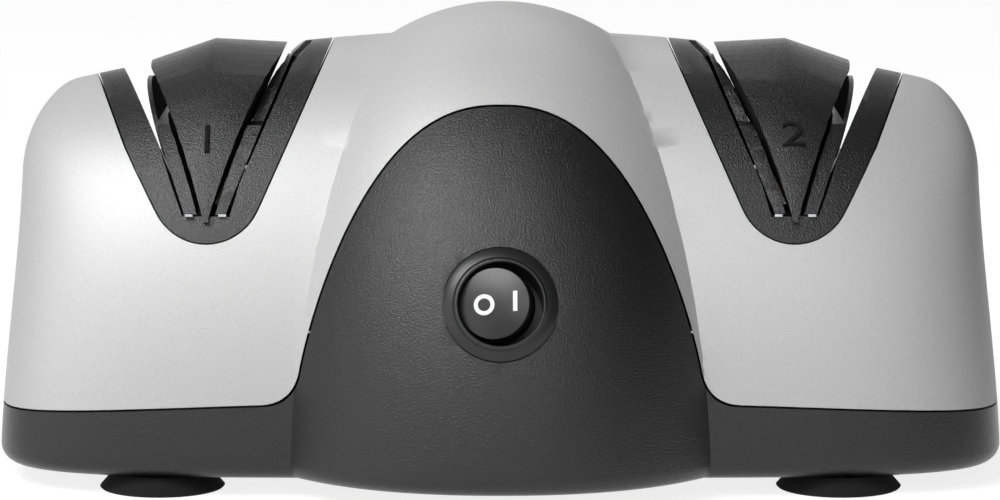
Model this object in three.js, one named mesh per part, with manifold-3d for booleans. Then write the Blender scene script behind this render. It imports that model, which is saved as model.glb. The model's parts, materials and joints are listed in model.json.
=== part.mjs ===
// Electric knife sharpener with two grinding stages, in millimetres.
// X runs to the right, Y to the back and Z up. The origin is under the middle of the object,
// on the surface that the suction feet stand on.
import * as THREE from 'three';
import { mergeVertices } from 'three/addons/utils/BufferGeometryUtils.js';
import Module from 'manifold-3d';

const wasm = await Module();
wasm.setup();

// Body: a long loaf, the wings, with a bulging hump across its middle
const halfWidth = 105.9;
const wingHalfDepth = 48;
const wingCrest = 92.1;
const wingCrestDrop = 14;
const sideBatter = 4.85;
const sideTopShare = 0.85;
const topCornerReach = 11.5;
const topCornerDepthShare = 0.2;
const humpHalfWidth = 58.2;
const humpTop = 98.3;
const humpFrontReach = 67;
const humpRearReach = 52;
const crestY = (humpFrontReach - humpRearReach) / 2;

// How square each form is, as powers of its section and of its rise
const wingPlanPowerShare = 5;
const wingRisePowerShare = 2.5;
const sidePowerShare = 1.5;
const humpPlanPowerShare = 2.2;
const humpSidePowerShare = 2.4;
const humpFrontPowerShare = 2;

// Housing
const footHeight = 3.9;
const toeRadius = 3.6;
const wall = 2.2;
const floorThickness = 2.4;
const floorTop = footHeight + floorThickness;
const seamHeight = 20;
const seamDrop = 4;
const seamGap = 0.4;
const archTop = 80.2;
const archFoot = 20;
const archHalfWidth = 41.9;
const archPowerShares = [2.35, 1.32];
const archFilletHeight = 26;
const archFilletReach = 7;

// Grinding stages, one in each wing
const stageX = 60.7;
const guideBottom = 52.15;
const guideRadius = 11.65;
const outerFlankAngle = THREE.MathUtils.degToRad(29.5);
const innerFlankAngle = THREE.MathUtils.degToRad(24.5);
const guideGap = 0.35;
const slotFloor = 57.4;
const slotHalfWidth = 4.9;
const outerSlotAngle = THREE.MathUtils.degToRad(22);
const outerSlotTopAngle = THREE.MathUtils.degToRad(21);
const innerSlotFootAngle = THREE.MathUtils.degToRad(16.9);
const innerSlotAngle = THREE.MathUtils.degToRad(24.1);
const innerSlotKnee = 64;
const wedgeFootHalf = 0.6;
const wedgeAngle = THREE.MathUtils.degToRad(24.5);
const wedgeLeadAngle = THREE.MathUtils.degToRad(13.3);
const wedgeFullHalfDepth = 8;
const wedgeOuterCrest = 85.4;
const wedgeMiddleCrest = 90.4;
const wedgeInnerCrest = 89.6;
const wedgeCornerReach = 14.6;
const knifeGap = 1.1;
const armFlareShare = 0.11;
const slotFlareShare = 0.15;
const flareOrigin = -28;
const flareFullHeight = 64;
const outerArmKnee = 70;
const armTopAngle = THREE.MathUtils.degToRad(20.3);
const innerArmKnee = 86.5;
const innerArmTopAngle = THREE.MathUtils.degToRad(46);

// Running gear. Solids that are joined sink into each other by a root.
const shaftHeight = 42;
const shaftRadius = 2.5;
const shaftHalfLength = 70;
const wheelRadius = 23;
const wheelThickness = 3.1;
const wheelHalfGap = 0.5;
const fit = 0.3;
const runningGap = 1.2;
const root = 1;

// Cuts run this far past the surfaces that they open
const overrun = 5;
const sky = humpTop + overrun;

// Facets
const bodySides = 48;
const bodyLevels = 10;
const liningSides = 24;
const liningLevels = 6;
const depthSteps = 10;
const roundSides = 16;
const smallSides = 8;

const silver = { color: 0xb9babb, roughness: 0.42, metalness: 0.35 };
const black = { color: 0x2b2b2c, roughness: 0.62, metalness: 0 };
const gloss = { color: 0x151516, roughness: 0.28, metalness: 0 };
const rubber = { color: 0x1a1a1a, roughness: 0.8, metalness: 0 };
const steel = { color: 0xa9acb0, roughness: 0.35, metalness: 1 };
const lamination = { color: 0x77797c, roughness: 0.5, metalness: 0.9 };
const copper = { color: 0xa55a2c, roughness: 0.4, metalness: 0.9 };
const bronze = { color: 0x9c7a45, roughness: 0.5, metalness: 0.9 };
const abrasive = { color: 0xd8d2cc, roughness: 0.9, metalness: 0 };
const nylon = { color: 0xdcd9cf, roughness: 0.55, metalness: 0 };

const sharpener = new THREE.Group();

// A closed geometry as a solid that can be cut and joined, turned the right way out
function solidFrom(geometry) {
  const plain = new THREE.BufferGeometry();
  plain.setAttribute('position', geometry.getAttribute('position').clone());
  if (geometry.index) plain.setIndex(geometry.index.clone());
  const merged = mergeVertices(plain);
  const corners = merged.index.array;
  const points = merged.getAttribute('position').array;
  const at = (i) => new THREE.Vector3().fromArray(points, i * 3);
  const kept = [];
  let volume = 0;
  for (let i = 0; i < corners.length; i += 3) {
    const [a, b, c] = [corners[i], corners[i + 1], corners[i + 2]];
    if (a === b || b === c || c === a) continue;
    kept.push(a, b, c);
    volume += at(a).dot(at(b).cross(at(c)));
  }
  if (volume < 0) kept.reverse();
  return new wasm.Manifold(new wasm.Mesh({
    numProp: 3,
    vertProperties: new Float32Array(points),
    triVerts: new Uint32Array(kept),
  }));
}

function geometryFrom(solid) {
  const mesh = solid.getMesh();
  const geometry = new THREE.BufferGeometry();
  geometry.setAttribute('position', new THREE.BufferAttribute(mesh.vertProperties, 3));
  geometry.setIndex(new THREE.BufferAttribute(mesh.triVerts, 1));
  geometry.computeVertexNormals();
  return geometry;
}

function addPiece(name, solid, finish, parent = sharpener) {
  const mesh = new THREE.Mesh(geometryFrom(solid), new THREE.MeshStandardMaterial(finish));
  mesh.name = name;
  parent.add(mesh);
  return mesh;
}

const joined = (solids) => solids.reduce((sum, solid) => sum.add(solid));

// A skin over a row of sections, each a loop of as many points, that may close itself at its end
function loft(sections, closesItself = false) {
  const count = sections[0].length;
  const vertices = sections.flat();
  const faces = [];
  for (let k = 0; k + 1 < sections.length; k += 1) {
    for (let i = 0; i < count; i += 1) {
      const near = k * count + i;
      const next = k * count + (i + 1) % count;
      faces.push(near, next, next + count, near, next + count, near + count);
    }
  }
  const capEnd = (section, first, forward) => {
    const middle = section.reduce((sum, p) => sum.add(p), new THREE.Vector3());
    vertices.push(middle.divideScalar(count));
    for (let i = 0; i < count; i += 1) {
      const edge = [first + i, first + (i + 1) % count];
      faces.push(vertices.length - 1, ...(forward ? edge : edge.reverse()));
    }
  };
  capEnd(sections[0], 0, false);
  if (!closesItself) capEnd(sections[sections.length - 1], (sections.length - 1) * count, true);
  const geometry = new THREE.BufferGeometry();
  const numbers = vertices.flatMap((p) => p.toArray());
  geometry.setAttribute('position', new THREE.Float32BufferAttribute(numbers, 3));
  geometry.setIndex(faces);
  return solidFrom(geometry);
}

// A flat outline of x and z, pushed from one y to another
function pushAlongY(shape, fromY, toY, curveSegments = smallSides / 2) {
  const geometry = new THREE.ExtrudeGeometry(shape, {
    depth: toY - fromY, bevelEnabled: false, curveSegments,
  });
  geometry.rotateX(Math.PI / 2);
  geometry.translate(0, toY, 0);
  return solidFrom(geometry);
}

// A flat outline of y and z, pushed from one x to another
function pushAlongX(shape, fromX, toX, curveSegments = smallSides / 2) {
  const geometry = new THREE.ExtrudeGeometry(shape, {
    depth: toX - fromX, bevelEnabled: false, curveSegments,
  });
  const [x, y, z] = [new THREE.Vector3(1, 0, 0), new THREE.Vector3(0, 1, 0), new THREE.Vector3(0, 0, 1)];
  geometry.applyMatrix4(new THREE.Matrix4().makeBasis(y, z, x));
  geometry.translate(fromX, 0, 0);
  return solidFrom(geometry);
}

// A block between two corners
function block(low, high) {
  const size = high.map((value, i) => value - low[i]);
  const middle = high.map((value, i) => (value + low[i]) / 2);
  return solidFrom(new THREE.BoxGeometry(...size).translate(...middle));
}

// A turned piece: radius and height pairs, spun about an upright axis through a point
function turned(profile, [x, y], sides = roundSides) {
  const points = profile.map(([radius, height]) => new THREE.Vector2(radius, height));
  const geometry = new THREE.LatheGeometry(points, sides);
  geometry.rotateX(Math.PI / 2);
  geometry.translate(x, y, 0);
  return solidFrom(geometry);
}

// The same, spun about the shaft line, with the heights measured along X
function turnedOnShaft(profile, sides = roundSides) {
  const points = profile.map(([radius, along]) => new THREE.Vector2(radius, along));
  const geometry = new THREE.LatheGeometry(points, sides);
  geometry.rotateZ(-Math.PI / 2);
  geometry.translate(0, crestY, shaftHeight);
  return solidFrom(geometry);
}

const ringProfile = (inner, outer, low, high) => [
  [inner, low], [outer, low], [outer, high], [inner, high], [inner, low],
];

const rodProfile = (radius, low, high) => [[0, low], [radius, low], [radius, high], [0, high]];

// A loop of unit points, round at a power of 2 and squarer above it
function unitLoop(count, power) {
  const loop = [];
  for (let i = 0; i < count; i += 1) {
    const mirrored = i > count / 2;
    const angle = (Math.PI * 2 * (mirrored ? count - i : i)) / count;
    const across = Math.sign(Math.cos(angle)) * Math.abs(Math.cos(angle)) ** (2 / power);
    const along = Math.abs(Math.sin(angle)) ** (2 / power);
    loop.push([across, mirrored ? -along : along]);
  }
  return loop;
}

const wingCrestAt = (x) => wingCrest - wingCrestDrop * (x / halfWidth) ** 2;

// The wedge between a stage's two slots has its own crest, broken at its middle line
function wedgeCrestAt(x) {
  const reach = (Math.abs(x) - stageX) / wedgeCornerReach;
  const fall = reach > 0 ? wedgeMiddleCrest - wedgeOuterCrest : wedgeMiddleCrest - wedgeInnerCrest;
  return wedgeMiddleCrest - fall * Math.abs(reach);
}

// Levels of a skin: close together in its rounded toe, then by even turns towards the top
function skinLevels(bottom, toe, levelCount) {
  const levels = [];
  const toeSteps = toe > 0 ? 4 : 1;
  for (let i = 0; i < toeSteps; i += 1) {
    const turn = (Math.PI / 2) * (i / toeSteps);
    const base = bottom + toe * (1 - Math.cos(turn));
    levels.push({ base, share: 0, inset: toe * (1 - Math.sin(turn)) });
  }
  for (let i = 0; i <= levelCount; i += 1) {
    levels.push({ base: bottom + toe, share: Math.sin((Math.PI / 2) * (i / levelCount)), inset: 0 });
  }
  if (toe === 0) levels.shift();
  return levels;
}

// How far the end walls lean in: little near the foot, then more, and no further near the top
function sideLeanAt(rise) {
  const turn = Math.min(1, rise / sideTopShare) ** sidePowerShare;
  return sideBatter * Math.sin((Math.PI / 2) * turn);
}

function wingSolid({ inset, bottom, toe, sides, levels }) {
  const loop = unitLoop(sides, wingPlanPowerShare);
  const crestHeight = wingCrest - inset;
  const sections = skinLevels(bottom, toe, levels).map((level) => {
    const rise = (level.base + level.share * (crestHeight - level.base)) / crestHeight;
    const corner = Math.max(0, (rise - 1 + topCornerDepthShare) / topCornerDepthShare);
    const cornerLoss = topCornerReach * (1 - Math.sqrt(1 - corner ** 2));
    const halfX = halfWidth - inset - level.inset - sideLeanAt(rise) - cornerLoss;
    const halfY = (wingHalfDepth - inset) * Math.sqrt(1 - rise ** wingRisePowerShare) - level.inset;
    return loop.map(([across, along]) => {
      const x = across * halfX;
      const z = level.base + level.share * (wingCrestAt(x) - inset - level.base);
      return new THREE.Vector3(x, crestY + (rise === 1 ? 0 : along * halfY), z);
    });
  });
  return loft(sections, true);
}

function humpSolid({ inset, bottom, toe, sides, levels }) {
  const loop = unitLoop(sides, humpPlanPowerShare);
  const top = humpTop - inset;
  const sections = skinLevels(bottom, toe, levels).map((level) => {
    const z = level.base + level.share * (top - level.base);
    const rise = z / top;
    const halfX = (humpHalfWidth - inset) * Math.sqrt(1 - rise ** humpSidePowerShare) - level.inset;
    const depthShare = Math.sqrt(1 - rise ** humpFrontPowerShare);
    return loop.map(([across, along]) => {
      const reach = (along < 0 ? humpFrontReach : humpRearReach) - inset;
      const y = along * (reach * depthShare - level.inset);
      return new THREE.Vector3(across * (rise === 1 ? 0 : halfX), crestY + (rise === 1 ? 0 : y), z);
    });
  });
  return loft(sections, true);
}

const outside = { inset: 0, bottom: footHeight, toe: toeRadius, sides: bodySides, levels: bodyLevels };
const inside = { inset: wall, bottom: floorTop, toe: 0, sides: liningSides, levels: liningLevels };
const outerSkin = wingSolid(outside).add(humpSolid(outside));
const innerSkin = wingSolid(inside).add(humpSolid(inside));
const shell = outerSkin.subtract(innerSkin);

// The seam between base and cover, seen from the front, falls away a little to the sides
const seamAt = (x) => seamHeight - seamDrop * (x / halfWidth) ** 2;

// The arched panel's edge: a point at a share of the way round from the left foot to the right
function archPoint(share, grow) {
  const across = -Math.cos(Math.PI * share);
  const [sidePower, risePower] = archPowerShares;
  const rise = (1 - Math.abs(across) ** sidePower) ** (1 / risePower);
  return [across * (archHalfWidth + grow), archFoot + rise * (archTop + grow - archFoot)];
}

// All that belongs to the base, as a solid that takes in more than the body
function baseZone(grow) {
  const end = halfWidth + overrun;
  const steps = 16;
  const seamLine = (fromX, toX) => {
    const line = [];
    for (let i = 0; i <= steps / 2; i += 1) {
      const x = fromX + (toX - fromX) * (i / (steps / 2));
      line.push([x, seamAt(x) + grow]);
    }
    return line;
  };
  const arch = [];
  for (let i = 0; i <= steps * 2; i += 1) {
    const point = archPoint(i / (steps * 2), grow);
    if (point[1] > archFilletHeight) arch.push(point);
  }
  const filletX = archHalfWidth + archFilletReach + grow;
  const front = new THREE.Shape();
  front.moveTo(-end, 0);
  for (const point of seamLine(-end, -filletX)) front.lineTo(...point);
  front.quadraticCurveTo(-archHalfWidth - grow, seamAt(archHalfWidth) + grow, ...arch[0]);
  for (const point of arch) front.lineTo(...point);
  const filletEnd = [filletX, seamAt(filletX) + grow];
  front.quadraticCurveTo(archHalfWidth + grow, seamAt(archHalfWidth) + grow, ...filletEnd);
  for (const point of seamLine(filletX, end)) front.lineTo(...point);
  front.lineTo(end, 0);
  const rear = new THREE.Shape();
  rear.moveTo(-end, 0);
  for (const point of seamLine(-end, end)) rear.lineTo(...point);
  rear.lineTo(end, 0);
  const frontEnd = crestY - Math.max(humpFrontReach, wingHalfDepth) - overrun;
  const rearEnd = crestY + Math.max(humpRearReach, wingHalfDepth) + overrun;
  return pushAlongY(front, frontEnd, crestY).add(pushAlongY(rear, crestY - overrun, rearEnd));
}

// Where a guide's flank leaves the round bottom, and how far out it is at a height
function flank(angle, radius) {
  const [x, z] = [radius * Math.cos(angle), guideBottom + guideRadius - radius * Math.sin(angle)];
  return (height) => x + (height - z) * Math.tan(angle);
}

// The guide's outline at one depth, from the top of one arm round the bottom to the other.
// The outer arm leans out towards the back, and side is -1 for the left stage and 1 for the right.
function guideOutline(side, y, grow) {
  const radius = guideRadius + grow;
  const middle = guideBottom + guideRadius;
  const [outerX, innerX] = [flank(outerFlankAngle, radius), flank(innerFlankAngle, radius)];
  const lean = armFlareShare * Math.max(0, y - crestY - flareOrigin);
  const kneeX = outerX(outerArmKnee) + lean;
  const points = [
    [kneeX + (sky - outerArmKnee) * Math.tan(armTopAngle), sky], [kneeX, outerArmKnee],
    [outerX(flareFullHeight) + lean, flareFullHeight],
  ];
  const arcSteps = 12;
  for (let i = 0; i <= arcSteps; i += 1) {
    const share = i / arcSteps;
    const angle = -outerFlankAngle * (1 - share) - (Math.PI - innerFlankAngle) * share;
    points.push([radius * Math.cos(angle), middle + radius * Math.sin(angle)]);
  }
  points.push([-innerX(outerArmKnee), outerArmKnee], [-innerX(sky), sky]);
  return points.map(([x, z]) => new THREE.Vector3(side * (stageX + x), y, z));
}

const bodyFront = crestY - wingHalfDepth - overrun;
const bodyRear = crestY + wingHalfDepth + overrun;

// Depths of the sections that a twisted form is drawn through, with its own marks among them
function sectionRow(...marks) {
  const row = [];
  for (let i = 0; i <= depthSteps; i += 1) {
    row.push(bodyFront + (bodyRear - bodyFront) * (i / depthSteps));
  }
  return [...row, ...marks].sort((a, b) => a - b);
}

function guideZone(side, grow) {
  return loft(sectionRow(crestY + flareOrigin).map((y) => guideOutline(side, y, grow)));
}

// The wall of the outer slot leans out to the back from a line near its front
function outerSlotWall(y) {
  const lean = slotFlareShare * Math.max(0, y - crestY - flareOrigin);
  const kneeX = slotHalfWidth + (flareFullHeight - slotFloor) * Math.tan(outerSlotAngle) + lean;
  const topX = kneeX + (sky - flareFullHeight) * Math.tan(outerSlotTopAngle);
  return [[kneeX, flareFullHeight], [topX, sky]];
}

// The inner slot's wall is steeper near its foot, and the arm has a broad bevel along its top
function innerSlotWall() {
  const footX = slotHalfWidth + (innerSlotKnee - slotFloor) * Math.tan(innerSlotFootAngle);
  const kneeX = footX + (innerArmKnee - innerSlotKnee) * Math.tan(innerSlotAngle);
  const topX = kneeX + (sky - innerArmKnee) * Math.tan(innerArmTopAngle);
  return [[footX, innerSlotKnee], [kneeX, innerArmKnee], [topX, sky]];
}

// One knife slot's cut, from the wedge's middle out to the wall of the arm beside it
function slotCut(side, outward) {
  const sections = sectionRow(crestY + flareOrigin).map((y) => {
    const wall = outward > 0 ? outerSlotWall(y) : innerSlotWall();
    const points = [
      [-wedgeFootHalf, slotFloor], [slotHalfWidth, slotFloor], ...wall, [-wedgeFootHalf, sky],
    ];
    return points.map(([x, z]) => new THREE.Vector3(side * (stageX + outward * x), y, z));
  });
  return loft(sections);
}

// Room for the pair of wheels that comes up through the bottom of a guide
function wheelWell(side, halfLength) {
  const radius = wheelRadius + runningGap;
  const middle = side * stageX;
  return turnedOnShaft(rodProfile(radius, middle - halfLength, middle + halfLength));
}

// The wedge's skin: the wing's own curve, drawn up to the wedge's crest
function wedgeSkin(side) {
  const steps = 24;
  const sections = [-1, 0, 1].map((reach) => {
    const x = side * stageX + reach * wedgeCornerReach * 2;
    const crest = wedgeCrestAt(x);
    const section = [new THREE.Vector3(x, crestY - wingHalfDepth, slotFloor - overrun)];
    for (let i = 0; i <= steps; i += 1) {
      const turn = Math.PI * (i / steps);
      const rise = Math.sin(turn);
      const half = wingHalfDepth * Math.sqrt(Math.max(0, 1 - rise ** wingRisePowerShare));
      const z = Math.max(slotFloor - overrun, rise * crest);
      section.push(new THREE.Vector3(x, crestY - Math.sign(Math.cos(turn)) * half, z));
    }
    return section;
  });
  return loft(sections);
}

// The wedge is full over its middle and thins to both ends, so that a knife is led in
function wedgeBody(side) {
  const fullEnds = [crestY - wedgeFullHalfDepth, crestY + wedgeFullHalfDepth];
  const sections = sectionRow(...fullEnds).map((y) => {
    const lead = Math.max(0, Math.abs(y - crestY) - wedgeFullHalfDepth) / (bodyRear - fullEnds[1]);
    const slope = Math.tan(wedgeAngle) * (1 - lead) + Math.tan(wedgeLeadAngle) * lead;
    const topX = wedgeFootHalf + (sky - slotFloor) * slope;
    const points = [
      [-wedgeFootHalf, slotFloor - root], [wedgeFootHalf, slotFloor - root], [wedgeFootHalf, slotFloor],
      [topX, sky], [-topX, sky], [-wedgeFootHalf, slotFloor],
    ];
    return points.map(([x, z]) => new THREE.Vector3(side * stageX + x, y, z));
  });
  return loft(sections).intersect(wedgeSkin(side));
}

function stageGuide(side) {
  const slots = slotCut(side, 1).add(slotCut(side, -1));
  const arms = guideZone(side, 0).intersect(outerSkin).subtract(slots);
  const well = wheelWell(side, wheelHalfGap + wheelThickness + runningGap);
  return arms.add(wedgeBody(side)).subtract(well);
}

addPiece('stage_1_guide', stageGuide(-1), black);
addPiece('stage_2_guide', stageGuide(1), black);

// Blade springs: one thin plate on the outside of each slot, over the wheels like a bridge
const outerSpringThickness = { foot: 2.3, shoulder: 1.1, tip: 1 };
const innerSpringThickness = { foot: 1.6, shoulder: 0.95, tip: 0.8 };
const springShoulderTop = 75;
const springDrop = 2.4;
const springInset = 1;
const springArchHalf = 21;
const springArchBase = 68;

function bladeSpring(side, outward) {
  const wedgeX = (z) => wedgeFootHalf + (z - slotFloor) * Math.tan(wedgeAngle);
  const innerX = (z) => wedgeX(z) + knifeGap / Math.cos(wedgeAngle);
  const foot = slotFloor + fit;
  const thickness = outward > 0 ? outerSpringThickness : innerSpringThickness;
  const levels = [
    [foot, thickness.foot], [springShoulderTop, thickness.shoulder], [humpTop, thickness.tip],
  ];
  const outerSide = levels.map(([z, across]) => [innerX(z) + across / Math.cos(wedgeAngle), z]);
  const outline = [[innerX(foot), foot], ...outerSide, [innerX(humpTop), humpTop]];
  const corners = outline.map(([x, z]) => new THREE.Vector2(side * (stageX + outward * x), z));
  const plate = pushAlongY(new THREE.Shape(corners), bodyFront, bodyRear);
  const tipX = stageX + outward * innerX(wingCrest - springDrop - springInset);
  const tip = wingCrestAt(tipX) - springDrop;
  const arch = new THREE.Shape();
  arch.moveTo(crestY - springArchHalf, slotFloor);
  arch.lineTo(crestY - springArchHalf, springArchBase);
  arch.absellipse(crestY, springArchBase, springArchHalf, tip - springArchBase, Math.PI, 0, true);
  arch.lineTo(crestY + springArchHalf, slotFloor);
  const shoulders = block([-halfWidth, bodyFront, 0], [halfWidth, bodyRear, springShoulderTop]);
  const lining = wingSolid({ ...inside, inset: springInset, bottom: guideBottom });
  const bridge = pushAlongX(arch, -halfWidth, halfWidth, roundSides / 2);
  return plate.intersect(lining.intersect(shoulders).add(bridge)).subtract(wheelWell(side, halfWidth));
}

for (const [side, stage] of [[-1, 'stage_1'], [1, 'stage_2']]) {
  for (const [outward, place] of [[1, 'outer'], [-1, 'inner']]) {
    addPiece(`${stage}_${place}_blade_spring`, bladeSpring(side, outward), gloss);
  }
}

// Screws that come up through the base into the cover's pillars
const screwEndInset = 16.9;
const screwSideInset = 21;
const screwX = halfWidth - screwEndInset;
const screwReachY = wingHalfDepth - screwSideInset;
const screwRadius = 1.4;
const screwHeadRadius = 3;
const screwHeadHeight = 2.2;
const screwSeat = floorTop + 1.6;
const screwLength = 20;
const postRadius = 5;
const pillarRadius = 4;
const pillarBottom = seamHeight + seamGap;
const pillarTop = 46;
const ribThickness = 2.4;
const screwTip = 1;
const screwPlaces = [-1, 1].flatMap((x) => [-1, 1].map((y) => [x * screwX, crestY + y * screwReachY]));

// Suction feet, plugged into the base
const footEndInset = 35.4;
const footSideInset = 14.5;
const footX = halfWidth - footEndInset;
const footReachY = wingHalfDepth - footSideInset;
const cupRadius = 13;
const cupShoulderRadius = 10.2;
const cupRim = 1.3;
const cupEdge = 0.4;
const cupHollow = 1.4;
const cupRoofInset = 1;
const stemRadius = 4;
const plugRadius = 5.4;
const plugHeight = 2.6;
const footPlaces = [
  ['front_left', -footX, -1], ['front_right', footX, -1],
  ['rear_left', -footX, 1], ['rear_right', footX, 1],
].map(([name, x, back]) => [name, [x, crestY + back * footReachY]]);

// The switch seat on the front of the hump leans back with the panel
const switchHeight = 42.6;
const switchLean = THREE.MathUtils.degToRad(18.2);
const switchSeatRadius = 11.9;
const switchSeatDepth = 1.3;
const bezelRadius = 11.5;
const bezelThickness = 2.3;
const openingRadius = 8.5;
const barrelRadius = 9.8;
const barrelLength = 14;
const barrelWall = 1.1;
const bezelRound = 1.2;
const bezelRiseShares = [0.35, 0.8];
const openingLip = 0.9;
const rockerRadius = 7.2;
const rockerTilt = THREE.MathUtils.degToRad(14);
const pivotDepth = 4.8;
const rockerRise = 5.2;
const rockerPinRadius = 1.1;
const rockerBelly = 5.4;
const rockerBellyShares = [[0.55, 0.82], [0.9, 0.42]];
const rockerEdge = 0.4;
const humpFrontAt = (z) => humpFrontReach * Math.sqrt(1 - (z / humpTop) ** humpFrontPowerShare);
const switchGroup = new THREE.Group();
switchGroup.position.set(0, crestY - humpFrontAt(switchHeight), switchHeight);
switchGroup.rotation.x = Math.PI / 2 - switchLean;
switchGroup.translateZ(-switchSeatDepth);
switchGroup.updateMatrix();
sharpener.add(switchGroup);

// A turned piece whose axis comes out of the switch seat
function turnedOnSeat(profile, sides = roundSides + smallSides) {
  return turned(profile, [0, 0], sides);
}

const placedOnSeat = (solid) => solid.transform(switchGroup.matrix.elements);

// Motor, between the two stages and under the hump
const stackHalfThickness = 10;
const stackHalfDepth = 25;
const stackBottom = 20;
const stackTop = 77;
const stackCorner = 4;
const saddleHalfWidth = 8;
const saddleHalfDepth = 3;
const saddleReach = 18.4;
const endRingReach = 2.5;
const endRingInset = 2;
const rotorRadius = 12.6;
const boreRadius = rotorRadius + 0.4;
const windowHalfDepth = 17;
const windowBottom = 60;
const windowTop = 67;
const bobbinWall = 0.8;
const coilBuild = 4;
const coilHalfLength = 14.3;
const flangeThickness = 1.2;
const flangeLip = 0.4;
const bracketThickness = 1.6;
const bracketFootHalf = 24.6;
const bracketStep = 7;
const bracketHalfHeight = 8;
const bracketInnerHalf = 16.2;
const bearingRadius = 6;
const bearingLength = 8;
const bearingCupRadius = 8;
const bearingStandout = 1;
const bearingCrown = [0.6, 0.8];
const motorScrewReach = 21.4;
const motorScrewRadius = 1.5;
const motorScrewHead = 2.8;
const motorScrewHeadHeight = 2;

// Openings in the base
const ventCount = 6;
const ventPitch = 7;
const ventWidth = 2.4;
const ventLength = 13;
const ventStart = stackHalfDepth + 3;
const cordHoleRadius = 3.6;
const cordHoleX = 62;
const cordHoleHeight = 11;

function baseHousing() {
  const wallAndPanel = shell.intersect(baseZone(0));
  const post = rodProfile(postRadius, floorTop - root, pillarBottom - fit);
  const posts = screwPlaces.map((place) => turned(post, place));
  const saddles = [-1, 1].map((end) => block(
    [-saddleHalfWidth, crestY + end * saddleReach - saddleHalfDepth, floorTop - root],
    [saddleHalfWidth, crestY + end * saddleReach + saddleHalfDepth, stackBottom - fit],
  ));
  const body = joined([wallAndPanel, ...posts, ...saddles]);
  const holes = screwPlaces.flatMap((place) => [
    turned(rodProfile(screwRadius + fit, 0, pillarBottom + overrun), place, smallSides),
    turned(rodProfile(screwHeadRadius + fit, 0, screwSeat), place, smallSides),
  ]);
  const footHole = rodProfile(stemRadius + fit, 0, floorTop + overrun);
  const footHoles = footPlaces.map(([, place]) => turned(footHole, place));
  const vents = [];
  for (let i = 0; i < ventCount; i += 1) {
    const x = (i - (ventCount - 1) / 2) * ventPitch;
    for (const end of [-1, 1]) {
      const middleY = crestY + end * (ventStart + ventLength / 2);
      vents.push(block([x - ventWidth / 2, middleY - ventLength / 2, 0],
        [x + ventWidth / 2, middleY + ventLength / 2, floorTop + overrun]));
    }
  }
  const inlet = new THREE.Shape();
  inlet.absarc(cordHoleX, cordHoleHeight, cordHoleRadius, 0, Math.PI * 2);
  const rearWall = crestY + wingHalfDepth;
  const cordHole = pushAlongY(inlet, rearWall - wall - overrun, rearWall + overrun);
  const seat = placedOnSeat(turnedOnSeat(rodProfile(switchSeatRadius, 0, overrun)));
  const barrelHole = placedOnSeat(turnedOnSeat(rodProfile(barrelRadius + fit, -barrelLength, overrun)));
  return body.subtract(joined([...holes, ...footHoles, ...vents, cordHole, seat, barrelHole]));
}

// A pillar for a cover screw, held to the long wall beside it by a rib
function screwPillar([x, y]) {
  const wallY = crestY + Math.sign(y - crestY) * wingHalfDepth;
  const rib = block([x - ribThickness / 2, Math.min(y, wallY), pillarBottom],
    [x + ribThickness / 2, Math.max(y, wallY), pillarTop]);
  return turned(rodProfile(pillarRadius, pillarBottom, pillarTop), [x, y]).add(rib);
}

function topCover() {
  const notches = guideZone(-1, guideGap).add(guideZone(1, guideGap));
  const pillars = joined(screwPlaces.map(screwPillar)).intersect(outerSkin);
  const pilot = rodProfile(screwRadius + fit, 0, screwSeat + screwLength + runningGap);
  const pilots = screwPlaces.map((place) => turned(pilot, place, smallSides));
  return shell.subtract(baseZone(seamGap).add(notches)).add(pillars).subtract(joined(pilots));
}

function coverScrew(place) {
  return turned([
    [0, screwSeat - fit - screwHeadHeight],
    [screwHeadRadius, screwSeat - fit - screwHeadHeight],
    [screwHeadRadius, screwSeat - fit], [screwRadius, screwSeat - fit],
    [screwRadius, screwSeat + screwLength - screwTip], [0, screwSeat + screwLength],
  ], place, smallSides);
}

function suctionFoot(place) {
  return turned([
    [0, cupHollow], [cupShoulderRadius - cupRoofInset, cupHollow / 2], [cupRadius - cupRim, 0],
    [cupRadius, 0], [cupRadius, cupEdge], [cupShoulderRadius, footHeight - fit],
    [stemRadius, footHeight - fit],
    [stemRadius, floorTop + fit], [plugRadius, floorTop + fit],
    [stemRadius, floorTop + plugHeight], [0, floorTop + plugHeight],
  ], place);
}

addPiece('base_housing', baseHousing(), black);
addPiece('top_cover', topCover(), silver);
screwPlaces.forEach((place, i) => addPiece(`cover_screw_${i + 1}`, coverScrew(place), steel));
footPlaces.forEach(([name, place]) => addPiece(`${name}_suction_foot`, suctionFoot(place), rubber));

// The switch: a round housing that snaps into the panel, and a disc that rocks in it
function switchHousing() {
  const outer = turnedOnSeat([
    [0, -barrelLength], [barrelRadius, -barrelLength], [barrelRadius, fit], [bezelRadius, fit],
    [bezelRadius, bezelThickness * bezelRiseShares[0]],
    [bezelRadius - bezelRound, bezelThickness * bezelRiseShares[1]],
    [openingRadius + openingLip, bezelThickness], [0, bezelThickness],
  ]);
  const hollow = turnedOnSeat([
    [0, 2 * barrelWall - barrelLength], [openingRadius, 2 * barrelWall - barrelLength],
    [openingRadius, bezelThickness + overrun], [0, bezelThickness + overrun],
  ]);
  const slits = [-1, 1].map((end) => block(
    [end * terminalX - terminalThickness / 2 - fit, -terminalHalfWidth - fit, -barrelLength - overrun],
    [end * terminalX + terminalThickness / 2 + fit, terminalHalfWidth + fit, 0],
  ));
  return outer.subtract(joined([hollow, ...slits]));
}

const terminalX = 4.2;
const terminalThickness = 0.8;
const terminalHalfWidth = 2.4;
const terminalLength = 7;

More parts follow.
